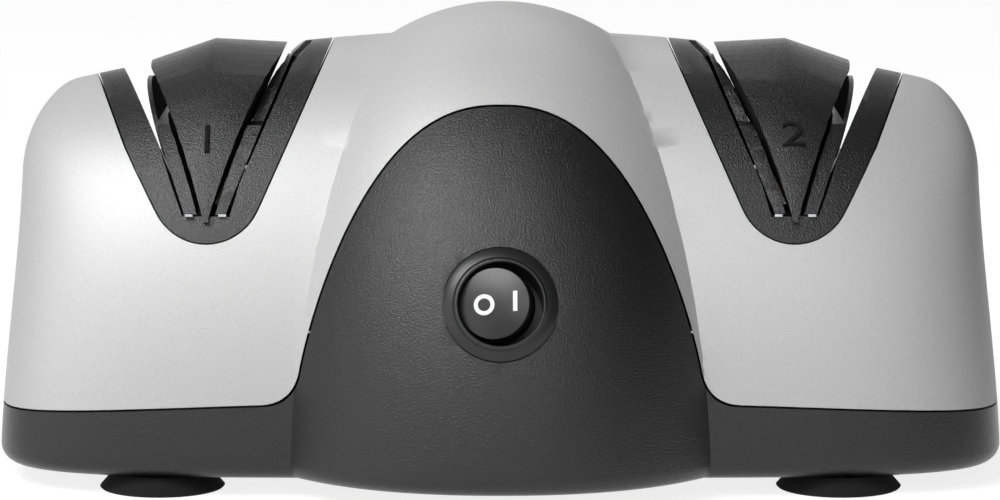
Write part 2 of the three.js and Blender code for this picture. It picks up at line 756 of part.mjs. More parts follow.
function rockerDisc() {
  const profile = [
    [0, -rockerBelly],
    ...rockerBellyShares.map(([across, down]) => [rockerRadius * across, -rockerBelly * down]),
    [rockerRadius, 0], [rockerRadius, rockerRise - rockerEdge], [rockerRadius - rockerEdge, rockerRise],
    [0, rockerRise],
  ];
  const pinLength = (openingRadius - fit) * 2;
  const pin = new THREE.CylinderGeometry(rockerPinRadius, rockerPinRadius, pinLength, smallSides);
  return turned(profile, [0, 0], roundSides + smallSides).add(solidFrom(pin));
}

addPiece('switch_housing', switchHousing(), gloss, switchGroup);
const rocker = addPiece('switch_rocker', rockerDisc(), gloss, switchGroup);
rocker.position.z = bezelThickness - pivotDepth;
rocker.rotation.y = -rockerTilt;
for (const [end, name] of [[-1, 'left'], [1, 'right']]) {
  addPiece(`switch_terminal_${name}`, block(
    [end * terminalX - terminalThickness / 2, -terminalHalfWidth, -barrelLength - terminalLength],
    [end * terminalX + terminalThickness / 2, terminalHalfWidth, barrelWall - barrelLength + root],
  ), bronze, switchGroup);
}

// Motor
function roundedBlockOutline(halfDepth, bottom, top, corner) {
  const shape = new THREE.Shape();
  const [left, right] = [crestY - halfDepth, crestY + halfDepth];
  shape.moveTo(left + corner, bottom);
  shape.lineTo(right - corner, bottom);
  shape.absarc(right - corner, bottom + corner, corner, -Math.PI / 2, 0);
  shape.absarc(right - corner, top - corner, corner, 0, Math.PI / 2);
  shape.absarc(left + corner, top - corner, corner, Math.PI / 2, Math.PI);
  shape.absarc(left + corner, bottom + corner, corner, Math.PI, Math.PI * 1.5);
  return shape;
}

const motorScrewRod = (end, radius, from, to) => {
  const section = new THREE.Shape();
  section.absarc(crestY + end * motorScrewReach, shaftHeight, radius, 0, Math.PI * 2);
  return pushAlongX(section, from, to);
};

function statorStack() {
  const outline = roundedBlockOutline(stackHalfDepth, stackBottom, stackTop, stackCorner);
  const past = stackHalfThickness + overrun;
  const bore = turnedOnShaft(rodProfile(boreRadius, -past, past));
  const opening = block([-past, crestY - windowHalfDepth, windowBottom],
    [past, crestY + windowHalfDepth, windowTop]);
  const holes = [-1, 1].map((end) => motorScrewRod(end, motorScrewRadius + fit, -bodyRear, bodyRear));
  const sheets = pushAlongX(outline, -stackHalfThickness, stackHalfThickness);
  return sheets.subtract(joined([bore, opening, ...holes]));
}

// A sleeve round the stack's top leg, from one offset off the leg to another
function legSleeve(inner, outer, fromY, toY) {
  const leg = (offset, low, high) => block(
    [-stackHalfThickness - offset, crestY + low, windowTop - offset],
    [stackHalfThickness + offset, crestY + high, stackTop + offset],
  );
  return leg(outer, fromY, toY).subtract(leg(inner, fromY - overrun, toY + overrun));
}

const bobbinOuter = fit + bobbinWall;
const flangeReach = bobbinOuter + fit + coilBuild + flangeLip;

function coilBobbin() {
  const end = coilHalfLength + fit + flangeThickness;
  const flangeMiddle = end - flangeThickness / 2;
  const flanges = [-flangeMiddle, flangeMiddle].map((y) => (
    legSleeve(fit, flangeReach, y - flangeThickness / 2, y + flangeThickness / 2)));
  return joined([legSleeve(fit, bobbinOuter, -end, end), ...flanges]);
}

function rotorCore() {
  const inner = shaftRadius + fit;
  const half = stackHalfThickness;
  const ring = rotorRadius - endRingInset;
  return turnedOnShaft([
    [inner, -half - endRingReach], [ring, -half - endRingReach], [ring, -half], [rotorRadius, -half],
    [rotorRadius, half], [ring, half], [ring, half + endRingReach], [inner, half + endRingReach],
    [inner, -half - endRingReach],
  ]);
}

function bearingBracket(end) {
  const foot = stackHalfThickness + fit;
  const plate = foot + bracketStep;
  const half = [
    [foot, bracketFootHalf], [foot, bracketInnerHalf], [plate, bracketInnerHalf],
    [plate, -bracketInnerHalf], [foot, -bracketInnerHalf], [foot, -bracketFootHalf],
    [foot + bracketThickness, -bracketFootHalf],
    [foot + bracketThickness, -bracketInnerHalf - bracketThickness],
    [plate + bracketThickness, -bracketInnerHalf - bracketThickness],
    [plate + bracketThickness, bracketInnerHalf + bracketThickness],
    [foot + bracketThickness, bracketInnerHalf + bracketThickness],
    [foot + bracketThickness, bracketFootHalf],
  ];
  const outline = new THREE.Shape(half.map(([x, y]) => new THREE.Vector2(end * x, crestY + y)));
  const strap = new THREE.ExtrudeGeometry(outline, { depth: bracketHalfHeight * 2, bevelEnabled: false });
  strap.translate(0, 0, shaftHeight - bracketHalfHeight);
  const middle = end * (plate + bracketThickness / 2);
  const cup = [middle - bearingLength / 2, middle + bearingLength / 2];
  const cupLine = rodProfile(bearingCupRadius, cup[0] + bearingStandout, cup[1] - bearingStandout);
  const bore = turnedOnShaft(rodProfile(bearingRadius + fit, cup[0] - overrun, cup[1] + overrun));
  const holes = [-1, 1].map((way) => motorScrewRod(way, motorScrewRadius + fit, -bodyRear, bodyRear));
  return solidFrom(strap).add(turnedOnShaft(cupLine)).subtract(joined([bore, ...holes]));
}

function bearing(end) {
  const middle = end * (stackHalfThickness + fit + bracketStep + bracketThickness / 2);
  const [near, far] = [middle - bearingLength / 2, middle + bearingLength / 2];
  const [drop, reach] = bearingCrown;
  const inner = shaftRadius + fit;
  return turnedOnShaft([
    [inner, near], [bearingRadius - drop, near], [bearingRadius, near + reach],
    [bearingRadius, far - reach], [bearingRadius - drop, far], [inner, far], [inner, near],
  ]);
}

function motorScrew(end) {
  const face = stackHalfThickness + fit + bracketThickness + fit;
  const headFace = face + motorScrewHeadHeight;
  const shank = motorScrewRod(end, motorScrewRadius, -headFace, headFace);
  return shank.add(motorScrewRod(end, motorScrewHead, -headFace, -face));
}

// A lead runs from each switch terminal up beside the stack to the coil's bobbin
const leadRadius = 0.8;
const leadClearance = 4;
const leadBend = 54;

function switchLead(side) {
  const tail = new THREE.Vector3(side * terminalX, 0, -barrelLength - terminalLength - leadRadius - fit);
  const start = tail.applyMatrix4(switchGroup.matrix);
  const beside = side * (stackHalfThickness + leadClearance);
  const front = crestY - stackHalfDepth - leadClearance;
  const flangeY = crestY - coilHalfLength - fit - flangeThickness - fit;
  const path = new THREE.CatmullRomCurve3([
    start, new THREE.Vector3(start.x, front - leadClearance, start.z + leadClearance),
    new THREE.Vector3(beside, front, leadBend),
    new THREE.Vector3(beside, front + leadClearance, windowTop),
    new THREE.Vector3(beside, flangeY, (windowTop + stackTop) / 2),
  ]);
  const round = new THREE.Shape();
  round.absarc(0, 0, leadRadius, 0, Math.PI * 2);
  return solidFrom(new THREE.ExtrudeGeometry(round, { extrudePath: path, steps: 12, curveSegments: 3 }));
}

addPiece('left_switch_lead', switchLead(-1), copper);
addPiece('right_switch_lead', switchLead(1), copper);
addPiece('stator_stack', statorStack(), lamination);
addPiece('coil_bobbin', coilBobbin(), nylon);
const coilInner = bobbinOuter + fit;
const coilOuter = coilInner + coilBuild;
addPiece('field_coil', legSleeve(coilInner, coilOuter, -coilHalfLength, coilHalfLength), copper);
addPiece('rotor_core', rotorCore(), lamination);
for (const [end, name] of [[-1, 'left'], [1, 'right']]) {
  addPiece(`${name}_bearing_bracket`, bearingBracket(end), steel);
  addPiece(`${name}_bearing`, bearing(end), bronze);
}
for (const [end, name] of [[-1, 'front'], [1, 'rear']]) {
  addPiece(`${name}_motor_screw`, motorScrew(end), steel);
}

// Shaft, wheels and fan turn together
const shaftTip = 1;
addPiece('drive_shaft', turnedOnShaft([
  [0, -shaftHalfLength], [shaftRadius - shaftTip, -shaftHalfLength],
  [shaftRadius, shaftTip - shaftHalfLength], [shaftRadius, shaftHalfLength - shaftTip],
  [shaftRadius - shaftTip, shaftHalfLength], [0, shaftHalfLength],
]), steel);

const wheelBevelReach = 6;
const wheelBevelDepth = 1.1;
const collarRadius = 7;
const collarLength = 6;
const nutRadius = 5;
const nutLength = 3.4;

function grindingWheel(side, outward) {
  const inner = shaftRadius + fit;
  const near = wheelHalfGap;
  const far = wheelHalfGap + wheelThickness;
  const profile = [
    [inner, near], [wheelRadius, near], [wheelRadius, far - wheelBevelDepth],
    [wheelRadius - wheelBevelReach, far], [inner, far], [inner, near],
  ];
  const placed = profile.map(([r, along]) => [r, side * (stageX + outward * along)]);
  return turnedOnShaft(placed, roundSides + smallSides);
}

for (const [side, stage] of [[-1, 'stage_1'], [1, 'stage_2']]) {
  addPiece(`${stage}_outer_wheel`, grindingWheel(side, 1), abrasive);
  addPiece(`${stage}_inner_wheel`, grindingWheel(side, -1), abrasive);
  const face = wheelHalfGap + wheelThickness + fit;
  const inner = shaftRadius + fit;
  const collar = ringProfile(inner, collarRadius, -face - collarLength, -face);
  addPiece(`${stage}_wheel_collar`, turnedOnShaft(collar.map(([r, x]) => [r, side * (stageX + x)])), steel);
  const [near, far] = [face, face + nutLength].map((x) => side * (stageX + x));
  const bore = turnedOnShaft(rodProfile(inner, near - side * overrun, far + side * overrun));
  addPiece(`${stage}_wheel_nut`, turnedOnShaft(rodProfile(nutRadius, near, far), 6).subtract(bore), steel);
}

const fanX = 34;
const fanRadius = 19;
const fanHubRadius = 6;
const fanHalfWidth = 4;
const fanBlades = 9;
const fanBladeThickness = 1.2;
const fanDiscThickness = 1.4;

function coolingFan() {
  const back = fanX - fanHalfWidth;
  const disc = turnedOnShaft(rodProfile(fanRadius, back, back + fanDiscThickness));
  const hub = turnedOnShaft(rodProfile(fanHubRadius, fanX - fanHalfWidth, fanX + fanHalfWidth));
  const blades = [];
  for (let i = 0; i < fanBlades; i += 1) {
    const reach = fanRadius - fanHubRadius + root;
    const blade = new THREE.BoxGeometry(fanHalfWidth * 2, fanBladeThickness, reach);
    blade.translate(fanX, 0, (fanRadius + fanHubRadius - root) / 2);
    blade.rotateX((Math.PI * 2 * i) / fanBlades);
    blade.translate(0, crestY, shaftHeight);
    blades.push(solidFrom(blade));
  }
  const bore = turnedOnShaft(rodProfile(shaftRadius + fit, back - overrun, fanX + fanHalfWidth + overrun));
  return joined([disc, hub, ...blades]).subtract(bore);
}

addPiece('cooling_fan', coolingFan(), nylon);

export default sharpener;
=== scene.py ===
import json
import math

import bmesh
import bpy
from mathutils import Matrix, Vector


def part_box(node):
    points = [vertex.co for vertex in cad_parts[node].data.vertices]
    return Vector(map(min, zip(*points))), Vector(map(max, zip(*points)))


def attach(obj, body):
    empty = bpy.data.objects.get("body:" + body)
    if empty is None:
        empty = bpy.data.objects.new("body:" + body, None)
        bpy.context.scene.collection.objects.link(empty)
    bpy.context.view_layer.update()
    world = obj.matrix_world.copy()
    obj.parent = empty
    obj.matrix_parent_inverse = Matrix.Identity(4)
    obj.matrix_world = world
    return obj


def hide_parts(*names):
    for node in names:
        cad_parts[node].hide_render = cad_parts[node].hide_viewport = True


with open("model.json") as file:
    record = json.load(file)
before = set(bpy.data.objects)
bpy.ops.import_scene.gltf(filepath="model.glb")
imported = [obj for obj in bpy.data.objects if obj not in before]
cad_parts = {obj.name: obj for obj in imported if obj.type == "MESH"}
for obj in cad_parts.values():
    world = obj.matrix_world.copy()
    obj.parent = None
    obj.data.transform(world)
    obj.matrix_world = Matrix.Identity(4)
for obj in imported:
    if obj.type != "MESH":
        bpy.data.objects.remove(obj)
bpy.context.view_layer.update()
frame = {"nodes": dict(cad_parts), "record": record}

mm = 0.001
middle_y = 7.5 * mm

# Camera: it stands a metre in front and a little above, as for the photograph, and its long lens
# takes in the body's whole width.
camera_distance = 1000 * mm
camera_rise = math.radians(8.3)
aim = Vector((-0.1 * mm, middle_y, 44.87 * mm))
camera_data = bpy.data.cameras.new("camera")
camera_data.sensor_width = 36
camera_data.lens = 167.9
camera = bpy.data.objects.new("camera", camera_data)
camera.location = aim + camera_distance * Vector((0, -math.cos(camera_rise), math.sin(camera_rise)))
camera.rotation_euler = (math.pi / 2 - camera_rise, 0, 0)
bpy.context.scene.collection.objects.link(camera)
bpy.context.scene.camera = camera
bpy.context.scene.view_settings.view_transform = "Standard"


# Studio: a pale floor under soft lamps, in a dim room that is lighter on the left and white behind.
# The camera sees floor and backdrop as white. Gloss and metal see the floor, the white and the room.
def add_node(tree, kind, settings=(), links=()):
    node = tree.nodes.new(kind)
    for name, value in dict(settings).items():
        if isinstance(name, int) or name in node.inputs:
            node.inputs[name].default_value = value
        else:
            setattr(node, name, value)
    for name, source in dict(links).items():
        tree.links.new(source, node.inputs[name])
    return node


def colour(hex_code):
    channels = [int(hex_code[i:i + 2], 16) / 255 for i in (1, 3, 5)]
    return [c / 12.92 if c <= 0.04045 else ((c + 0.055) / 1.055) ** 2.4 for c in channels] + [1]


def seen_ray(tree):
    ray = add_node(tree, "ShaderNodeLightPath")
    gloss = add_node(tree, "ShaderNodeMath", {"operation": "ADD", "use_clamp": True},
                     {0: ray.outputs["Is Glossy Ray"], 1: ray.outputs["Is Transmission Ray"]})
    seen = add_node(tree, "ShaderNodeMath", {"operation": "ADD", "use_clamp": True},
                    {0: ray.outputs["Is Camera Ray"], 1: gloss.outputs[0]})
    return ray.outputs["Is Camera Ray"], seen.outputs[0]


left_light = 0.6
right_light = 0.01
right_reach = 0.95
overhead_share = 0.25
white_from = 0.8
white_full = 0.97

world = bpy.data.worlds.new("studio")
bpy.context.scene.world = world
world.use_nodes = True
sky_tree = world.node_tree
sky_tree.nodes.clear()
by_camera, seen = seen_ray(sky_tree)
direction = add_node(sky_tree, "ShaderNodeTexCoord")
parts = add_node(sky_tree, "ShaderNodeSeparateXYZ", (), {0: direction.outputs["Generated"]})
across = add_node(sky_tree, "ShaderNodeMapRange",
                  {"From Min": -1.0, "From Max": right_reach, "To Min": left_light, "To Max": right_light},
                  {"Value": parts.outputs["X"]})
overhead = add_node(sky_tree, "ShaderNodeMapRange", {"To Min": 1.0, "To Max": overhead_share},
                    {"Value": parts.outputs["Z"]})
room = add_node(sky_tree, "ShaderNodeMath", {"operation": "MULTIPLY"},
                {0: across.outputs[0], 1: overhead.outputs[0]})
behind = add_node(sky_tree, "ShaderNodeMapRange", {"From Min": white_from, "From Max": white_full},
                  {"Value": parts.outputs["Y"]})
white = add_node(sky_tree, "ShaderNodeMath", {"operation": "MAXIMUM"},
                 {0: by_camera, 1: behind.outputs[0]})
shown = add_node(sky_tree, "ShaderNodeMath", {"operation": "MAXIMUM"},
                 {0: room.outputs[0], 1: white.outputs[0]})
backdrop = add_node(
    sky_tree, "ShaderNodeBackground", {"Color": colour("#ffffff")}, {"Strength": shown.outputs[0]})
room_light = add_node(
    sky_tree, "ShaderNodeBackground", {"Color": colour("#ffffff")}, {"Strength": room.outputs[0]})
studio_light = add_node(sky_tree, "ShaderNodeMixShader", (),
                        {0: seen, 1: room_light.outputs[0], 2: backdrop.outputs[0]})
add_node(sky_tree, "ShaderNodeOutputWorld", (), {"Surface": studio_light.outputs[0]})

floor_reach = 3
floor_glow = 0.82
bpy.ops.mesh.primitive_plane_add(size=2 * floor_reach)
floor = bpy.context.object
floor.name = "floor"
floor_paint = bpy.data.materials.new("pale_floor")
floor_paint.use_nodes = True
floor_tree = floor_paint.node_tree
floor_tree.nodes.clear()
by_camera, seen = seen_ray(floor_tree)
matt = add_node(floor_tree, "ShaderNodeBsdfDiffuse", {"Color": colour("#787878")})
dim_matt = add_node(floor_tree, "ShaderNodeBsdfDiffuse", {"Color": colour("#909090")})
glow = add_node(floor_tree, "ShaderNodeEmission", {"Color": colour("#ffffff"), "Strength": floor_glow})
lit = add_node(floor_tree, "ShaderNodeAddShader", (), {0: dim_matt.outputs[0], 1: glow.outputs[0]})
floor_look = add_node(floor_tree, "ShaderNodeMixShader", (),
                      {0: seen, 1: matt.outputs[0], 2: lit.outputs[0]})
add_node(floor_tree, "ShaderNodeOutputMaterial", (), {"Surface": floor_look.outputs[0]})
floor.data.materials.append(floor_paint)


def lamp(name, place, size, watts):
    data = bpy.data.lights.new(name, "AREA")
    data.shape = "RECTANGLE"
    data.size, data.size_y = size
    data.energy = watts
    made = bpy.data.objects.new(name, data)
    made.location = place
    made.rotation_euler = (aim - Vector(place)).to_track_quat("-Z", "Y").to_euler()
    bpy.context.scene.collection.objects.link(made)


lamp("key_softbox", (-0.92, -1.2, 1.66), (1.45, 0.85), 40)
lamp("left_softbox", (-1.9, -1.3, 0.5), (2.2, 1.1), 9)
lamp("front_softbox", (0.1, -1.75, 0.85), (1.3, 0.6), 8)
lamp("rear_softbox", (0, 1.3, 1.6), (1.6, 0.6), 4)


# Top cover: one ABS moulding with a metallic silver lacquer, two wings with a hump between them.
# It sits on the base along a fine seam and leaves room for both stage guides and the arched panel.
half_width = 105.9 * mm
wing_half_depth = 48 * mm
wing_crest = 92.1 * mm
wing_crest_drop = 14 * mm
wing_power = 2.5
wing_squareness = 5
side_batter = 4.85 * mm
side_top_share = 0.85
top_corner_reach = 11.5 * mm
top_corner_share = 0.2
hump_half_width = 58.2 * mm
hump_top = 98.3 * mm
hump_power = 2.4
hump_squareness = 2.2
hump_front_reach = 67 * mm
hump_rear_reach = 52 * mm
foot_height = 3.9 * mm
toe_radius = 3.6 * mm
wall = 2.2 * mm
floor_top = foot_height + 2.4 * mm
seam_height = 20 * mm
seam_drop = 4 * mm
seam_gap = 0.45 * mm
arch_top = 80.2 * mm
arch_foot = 20 * mm
arch_half_width = 41.9 * mm
arch_power = 2.35
arch_fullness = 1.32
arch_fillet_height = 26 * mm
arch_fillet_reach = 7 * mm
cover_edge = 0.3 * mm
overrun = 5 * mm
sky = hump_top + overrun


def wing_crest_at(x):
    return wing_crest - wing_crest_drop * (x / half_width) ** 2


def bent_grid(place, turns, levels):
    form = bmesh.new()
    bmesh.ops.create_grid(form, x_segments=turns, y_segments=levels, size=0.5)
    for vert in form.verts:
        vert.co = place(round((vert.co.x + 0.5) * turns) / turns, round((vert.co.y + 0.5) * levels))
    bmesh.ops.remove_doubles(form, verts=form.verts, dist=0.002 * mm)
    bmesh.ops.holes_fill(form, edges=form.edges)
    bmesh.ops.recalc_face_normals(form, faces=form.faces)
    return form


def squared(turn, power):
    across, along = math.cos(math.tau * turn), math.sin(math.tau * turn)
    return [math.copysign(abs(part) ** (2 / power), part) for part in (across, along)]


def skin_level(level, bottom, toe, count):
    toe_steps = 8 if toe else 0
    if level < toe_steps:
        turn = math.pi / 2 * level / toe_steps
        return bottom + toe * (1 - math.cos(turn)), 0, toe * (1 - math.sin(turn))
    return bottom + toe, math.sin(math.pi / 2 * (level - toe_steps) / (count - toe_steps)), 0


def wing_form(inset, bottom, toe, turns=224, levels=56):
    crest = wing_crest - inset

    def place(turn, level):
        base, share, toe_inset = skin_level(level, bottom, toe, levels)
        rise = (base + share * (crest - base)) / crest
        corner = max(0, (rise - 1 + top_corner_share) / top_corner_share)
        corner_loss = top_corner_reach * (1 - math.sqrt(max(0, 1 - corner ** 2)))
        side_lean = side_batter * math.sin(math.pi / 2 * min(1, rise / side_top_share) ** 1.5)
        half_x = half_width - inset - toe_inset - side_lean - corner_loss
        half_y = (wing_half_depth - inset) * math.sqrt(max(0, 1 - rise ** wing_power)) - toe_inset
        across, along = squared(turn, wing_squareness)
        x = across * half_x
        z = base + share * (wing_crest_at(x) - inset - base)
        return Vector((x, middle_y + (0 if level == levels else along * half_y), z))

    return bent_grid(place, turns, levels)


def hump_form(inset, bottom, toe, turns=160, levels=56):
    top = hump_top - inset

    def place(turn, level):
        base, share, toe_inset = skin_level(level, bottom, toe, levels)
        z = base + share * (top - base)
        if level == levels:
            return Vector((0, middle_y, top))
        rise = z / top
        half_x = (hump_half_width - inset) * math.sqrt(1 - rise ** hump_power) - toe_inset
        across, along = squared(turn, hump_squareness)
        reach = (hump_front_reach if along < 0 else hump_rear_reach) - inset
        y = along * (reach * math.sqrt(1 - rise ** 2) - toe_inset)
        return Vector((across * half_x, middle_y + y, z))

    return bent_grid(place, turns, levels)


def carved(form, *steps):
    mesh = bpy.data.meshes.new("carved")
    form.to_mesh(mesh)
    whole = bpy.data.objects.new("carved", mesh)
    bpy.context.scene.collection.objects.link(whole)
    cutters = []
    for operation, cutter in steps:
        cutter_mesh = bpy.data.meshes.new("cutter")
        cutter.to_mesh(cutter_mesh)
        cutters.append(bpy.data.objects.new("cutter", cutter_mesh))
        bpy.context.scene.collection.objects.link(cutters[-1])
        cut = whole.modifiers.new("cut", "BOOLEAN")
        cut.solver = "MANIFOLD"
        cut.operation = operation
        cut.object = cutters[-1]
    result = bmesh.new()
    result.from_mesh(whole.evaluated_get(bpy.context.evaluated_depsgraph_get()).to_mesh())
    for piece in [whole, *cutters]:
        bpy.data.objects.remove(piece)
    return result


# Extrude and spin make their faces in no fixed order. Sorted, they give the same result each run.
def in_order(form):
    form.verts.index_update()

    def rank(part):
        numbers = [vert.index for vert in part.verts]
        return min(numbers) * len(form.verts) + max(numbers)

    form.edges.sort(key=rank)
    form.faces.sort(key=rank)
    return form


def lofted(*sections):
    form = bmesh.new()
    start = end = form.faces.new([form.verts.new(point) for point in sections[0]])
    for section, ahead in zip(sections, sections[1:]):
        places = {Vector(point).freeze(): further for point, further in zip(section, ahead)}
        made = bmesh.ops.extrude_face_region(form, geom=[end])["geom"]
        if end != start:
            form.faces.remove(end)
        end = next(g for g in made if isinstance(g, bmesh.types.BMFace))
        for vert in end.verts:
            vert.co = places[vert.co.copy().freeze()]
    bmesh.ops.recalc_face_normals(form, faces=form.faces)
    return in_order(form)


def pushed_along_y(outline, from_y, to_y):
    return lofted([(x, from_y, z) for x, z in outline], [(x, to_y, z) for x, z in outline])


def seam_at(x):
    return seam_height - seam_drop * (x / half_width) ** 2


def arch_point(share, grow):
    across = -math.cos(math.pi * share)
    rise = max(0, 1 - abs(across) ** arch_power) ** (1 / arch_fullness)
    return across * (arch_half_width + grow), arch_foot + rise * (arch_top + grow - arch_foot)


def curved_corner(start, bend, end):
    points = []
    steps = 12
    for i in range(1, steps):
        t = i / steps
        points.append(tuple(
            (1 - t) ** 2 * a + 2 * t * (1 - t) * b + t ** 2 * c for a, b, c in zip(start, bend, end)))
    return points


def seam_line(from_x, to_x, grow, steps=24):
    xs = [from_x + (to_x - from_x) * i / steps for i in range(steps + 1)]
    return [(x, seam_at(x) + grow) for x in xs]


front_end = middle_y - hump_front_reach - overrun
rear_end = middle_y + hump_rear_reach + overrun
side_end = half_width + overrun


def front_of_base(grow):
    arch = [arch_point(i / 96, grow) for i in range(97)]
    arch = [point for point in arch if point[1] > arch_fillet_height]
    foot_x = arch_half_width + arch_fillet_reach + grow
    bend = (arch_half_width + grow, seam_at(arch_half_width) + grow)
    left = curved_corner((-foot_x, seam_at(foot_x) + grow), (-bend[0], bend[1]), arch[0])
    right = curved_corner(arch[-1], bend, (foot_x, seam_at(foot_x) + grow))
    outline = [(-side_end, 0), *seam_line(-side_end, -foot_x, grow), *left, *arch, *right]
    outline += [*seam_line(foot_x, side_end, grow), (side_end, 0)]
    return pushed_along_y(outline, front_end, middle_y)


def rear_of_base(grow):
    outline = [(-side_end, 0), *seam_line(-side_end, side_end, grow, 48), (side_end, 0)]
    return pushed_along_y(outline, middle_y - overrun, rear_end)


stage_x = 60.7 * mm
guide_bottom = 52.15 * mm
guide_radius = 11.65 * mm
guide_gap = 0.35 * mm
outer_flank = math.radians(29.5)
inner_flank = math.radians(24.5)
outer_arm_top_lean = math.radians(20.3)
outer_flare = 0.11
flare_origin = middle_y - 28 * mm
flare_full_height = 64 * mm
outer_arm_knee = 70 * mm
wing_front = middle_y - wing_half_depth - overrun
wing_rear = middle_y + wing_half_depth + overrun
section_steps = 28


def section_row(*marks):
    row = [wing_front + (wing_rear - wing_front) * i / section_steps for i in range(section_steps + 1)]
    return sorted(row + list(marks))


def guide_zone(side, grow):
    radius = guide_radius + grow
    centre = guide_bottom + guide_radius
    steps = 32

    def flank_x(flank, z):
        return radius * math.cos(flank) + (z - centre + radius * math.sin(flank)) * math.tan(flank)

    def outline(y):
        flare = outer_flare * max(0, y - flare_origin)
        knee_x = flank_x(outer_flank, outer_arm_knee) + flare
        points = [(knee_x + (sky - outer_arm_knee) * math.tan(outer_arm_top_lean), sky),
                  (knee_x, outer_arm_knee),
                  (flank_x(outer_flank, flare_full_height) + flare, flare_full_height)]
        for i in range(steps + 1):
            turn = -outer_flank * (1 - i / steps) - (math.pi - inner_flank) * i / steps
            points.append((radius * math.cos(turn), centre + radius * math.sin(turn)))
        points.append((-flank_x(inner_flank, sky), sky))
        return [(side * (stage_x + x), y, z) for x, z in points]

    return lofted(*[outline(y) for y in section_row(flare_origin)])


sharp_angle = math.radians(40)
smooth_angle = math.radians(32)
heart_height = 30 * mm
heart_share = 0.7
facing_out = 0.45


def sharp_edges(form):
    return [edge for edge in form.edges
            if len(edge.link_faces) == 2 and edge.is_convex and edge.calc_face_angle() > sharp_angle]


def outer_edges(form):
    chosen = []
    for edge in sharp_edges(form):
        place = (edge.verts[0].co + edge.verts[1].co) / 2
        outward = (place - Vector((heart_share * place.x, middle_y, heart_height))).normalized()
        if max(face.normal.dot(outward) for face in edge.link_faces) > facing_out:
            chosen.append(edge)
    return chosen


def rounded(form, radius, choose=outer_edges):
    merge_reach = 1.6 * radius

    def corners():
        ends = {vert for edge in choose(form) for vert in edge.verts}
        return [vert for vert in form.verts if vert in ends]

    bmesh.ops.remove_doubles(form, verts=corners(), dist=merge_reach)
    long_edges = True
    while long_edges:
        long_edges = [edge for edge in choose(form) if edge.calc_length() > 5 * radius]
        bmesh.ops.subdivide_edges(form, edges=long_edges, cuts=1)
    near = bmesh.ops.find_doubles(form, verts=form.verts, keep_verts=corners(), dist=merge_reach)
    bmesh.ops.weld_verts(form, targetmap=near["targetmap"])
    bmesh.ops.bevel(
        form, geom=choose(form), offset=radius, offset_type="OFFSET", segments=2, profile=0.5,
        affect="EDGES", clamp_overlap=True, material=-1)
    return form


def finished(name, form, material, body, nodes=()):
    mesh = bpy.data.meshes.new(name)
    form.to_mesh(mesh)
    mesh.shade_smooth()
    mesh.set_sharp_from_angle(angle=smooth_angle)
    mesh.materials.append(material)
    piece = bpy.data.objects.new(name, mesh)
    bpy.context.scene.collection.objects.link(piece)
    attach(piece, body)
    if nodes:
        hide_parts(*nodes)
    return piece


def new_finish(name, roughness, metallic=0.0, ior=1.5):
    material = bpy.data.materials.new(name)
    material.use_nodes = True
    tree = material.node_tree
    shader = tree.nodes["Principled BSDF"]
    shader.inputs["Roughness"].default_value = roughness
    shader.inputs["Metallic"].default_value = metallic
    shader.inputs["IOR"].default_value = ior
    place = add_node(tree, "ShaderNodeTexCoord").outputs["Object"]
    return material, tree, shader, place


def tinted(tree, shader, pattern, dark, light, low=0.3, high=0.7):
    ramp = add_node(tree, "ShaderNodeValToRGB", (), {"Fac": pattern})
    ends = ramp.color_ramp.elements
    ends[0].position, ends[0].color = low, colour(dark)
    ends[1].position, ends[1].color = high, colour(light)
    tree.links.new(ramp.outputs["Color"], shader.inputs["Base Color"])


def embossed(tree, shader, pattern, depth, strength=1.0):
    bump = add_node(tree, "ShaderNodeBump", {"Distance": depth, "Strength": strength}, {"Height": pattern})
    tree.links.new(bump.outputs["Normal"], shader.inputs["Normal"])


# Satin silver lacquer on plastic: aluminium flakes too small to see give a fine sparkle, drawn
# here at a quarter of a millimetre so that it shows, over a faint orange peel from the spray gun.
silver_lacquer, tree, shader, place = new_finish("silver_lacquer", 0.52, 0.3)
flake = add_node(tree, "ShaderNodeTexNoise", {"Scale": 1 / (0.25 * mm), "Detail": 2}, {"Vector": place})
tinted(tree, shader, flake.outputs["Fac"], "#bdbdbd", "#cbcbcb")
peel = add_node(tree, "ShaderNodeTexNoise", {"Scale": 1 / (0.9 * mm), "Detail": 3}, {"Vector": place})
embossed(tree, shader, peel.outputs["Fac"], 0.02 * mm, 0.5)

outer = carved(wing_form(0, foot_height, toe_radius), ("UNION", hump_form(0, foot_height, toe_radius)))
lining = carved(wing_form(wall, floor_top, 0, 96, 24), ("UNION", hump_form(wall, floor_top, 0, 96, 24)))
shell = carved(outer, ("DIFFERENCE", lining))
cover = carved(
    shell, ("DIFFERENCE", front_of_base(seam_gap)), ("DIFFERENCE", rear_of_base(seam_gap)),
    ("DIFFERENCE", guide_zone(-1, guide_gap)), ("DIFFERENCE", guide_zone(1, guide_gap)))
finished("silver_cover", rounded(cover, cover_edge), silver_lacquer, "housing", ["top_cover"])


# Base housing: black ABS moulded with a fine leathery grain. Its front rises into the arched
# panel, which holds the switch; its floor has vents, and holes for the feet and the cover's screws.
screw_clearance = 0.3 * mm
screw_well_depth = 4 * mm
post_radius = 5 * mm
saddle_half_width = 8 * mm
saddle_half_depth = 3 * mm
saddle_reach = 18.4 * mm
vent_count = 6
vent_pitch = 7 * mm
vent_width = 2.4 * mm
vent_length = 13 * mm
vent_gap = 3 * mm
cord_hole_radius = 3.6 * mm
cord_hole_height = 11 * mm
cord_hole_x = 62 * mm
switch_height = 42.6 * mm
switch_lean = math.radians(18.2)
switch_seat_radius = 11.9 * mm
switch_seat_depth = 1.3 * mm
barrel_radius = 9.8 * mm
barrel_length = 14 * mm
foot_stem_radius = 4 * mm
base_edge = 0.25 * mm


